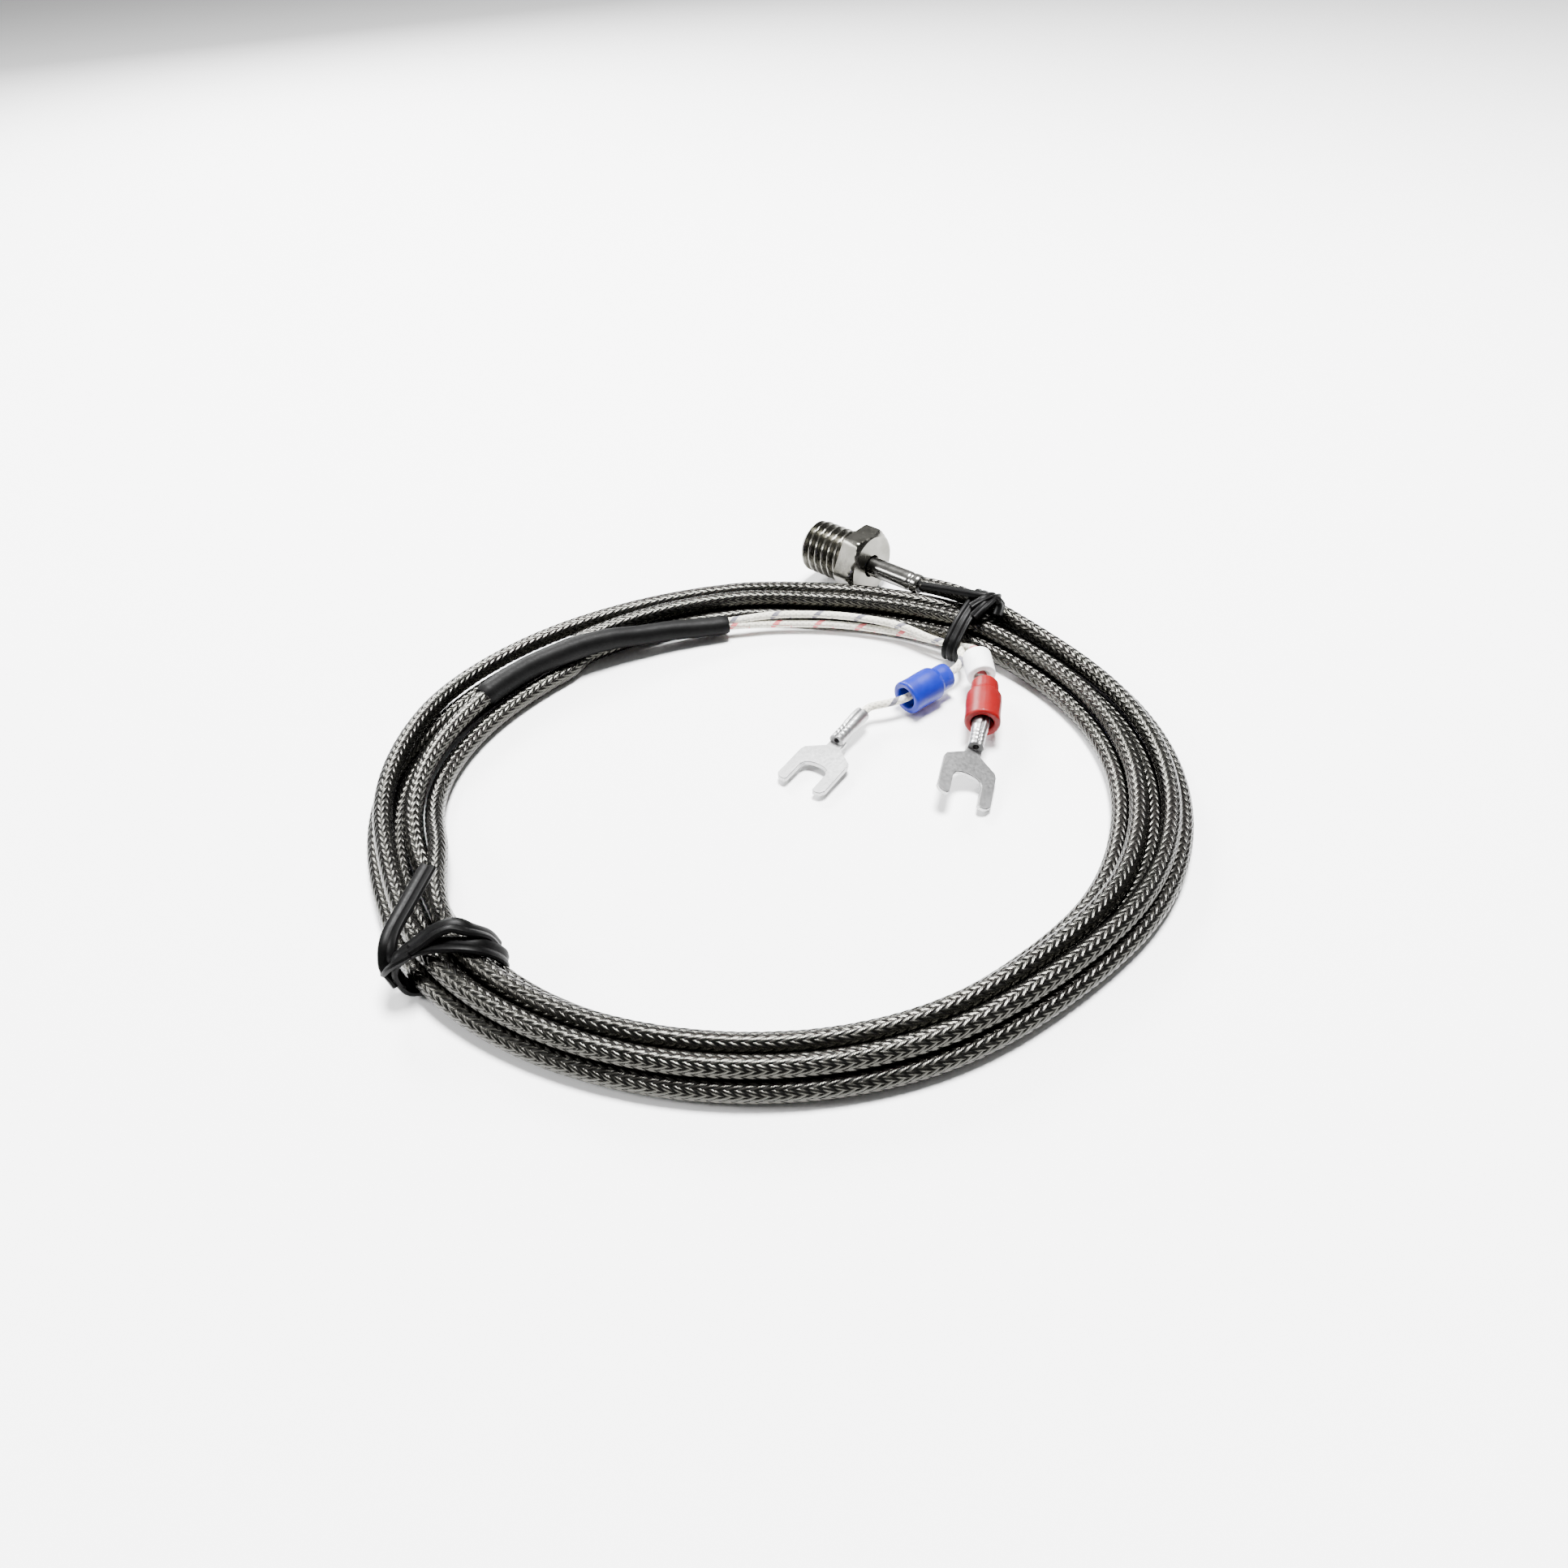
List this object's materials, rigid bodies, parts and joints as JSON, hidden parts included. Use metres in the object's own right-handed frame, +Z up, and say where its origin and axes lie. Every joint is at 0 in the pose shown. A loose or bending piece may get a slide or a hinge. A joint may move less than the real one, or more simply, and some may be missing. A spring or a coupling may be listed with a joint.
{
  "type": "bolt thermocouple",
  "caption": "Screw-in temperature probe on a thin metal-braided cable wound into a ring, with a heat-shrink sleeve, two insulated leads, soft boots and fork terminals.",
  "frame": {"origin": "on the table, under the middle of the probe (threaded bolt and its tube)", "axes": "+Z up from the table that the wound cable and the bolt lie on; +Y away from the ring's two terminals towards the bolt"},
  "size_m": [0.1246, 0.1224, 0.012],
  "materials": {
    "nickel": "satin nickel plating",
    "stainless": "drawn stainless tube",
    "braid": "fine stainless wire braid",
    "alloy": "bare thermo-element alloy",
    "cement": "ceramic cement",
    "glass_fibre": "braided glass-fibre sleeving with a colour tracer",
    "shrink": "heat-shrink sleeve, satin",
    "white_sleeve": "plain white sleeve",
    "red_boot": "soft vinyl",
    "blue_boot": "soft vinyl",
    "tin": "tin-plated sheet copper",
    "tie": "vinyl-covered twist tie"
  },
  "bodies": {
    "cable_body": {"probe_tube": "stainless", "tip_plug": "stainless", "cable_end_in_tube": "braid", "junction_bead": "alloy", "junction_cement": "cement", "insulator_positive": "glass_fibre", "insulator_negative": "glass_fibre", "thermo_wire_positive": "alloy", "thermo_wire_negative": "alloy", "cable_lead_in": "braid", "cable_coil": "braid", "cable_end_in_sleeve": "braid", "heat_shrink": "shrink", "lead_positive": "glass_fibre", "lead_negative": "glass_fibre", "conductor_positive": "alloy", "conductor_negative": "alloy", "marker_sleeve": "white_sleeve", "fork_positive": "tin", "fork_negative": "tin", "coil_tie_right": "tie", "coil_tie_left": "tie"},
    "bolt": {"probe_bolt": "nickel"},
    "red_boot_body": {"red_boot": "red_boot"},
    "blue_boot_body": {"blue_boot": "blue_boot"}
  },
  "joints": [
    {"name": "bolt_spin", "type": "hinge", "parent": "cable_body", "child": "bolt", "pos_m": [0.0018, -0.0018, 0.006], "axis": [-0.7314, 0.682, 0], "continuous": true},
    {"name": "red_boot_slide", "type": "slide", "parent": "cable_body", "child": "red_boot_body", "axis": [-0.211, -0.975, -0.07], "range_m": [-0.001, 0.003]},
    {"name": "blue_boot_slide", "type": "slide", "parent": "cable_body", "child": "blue_boot_body", "axis": [-0.7948, -0.6069, 0], "range_m": [-0.001, 0.0025]}
  ]
}
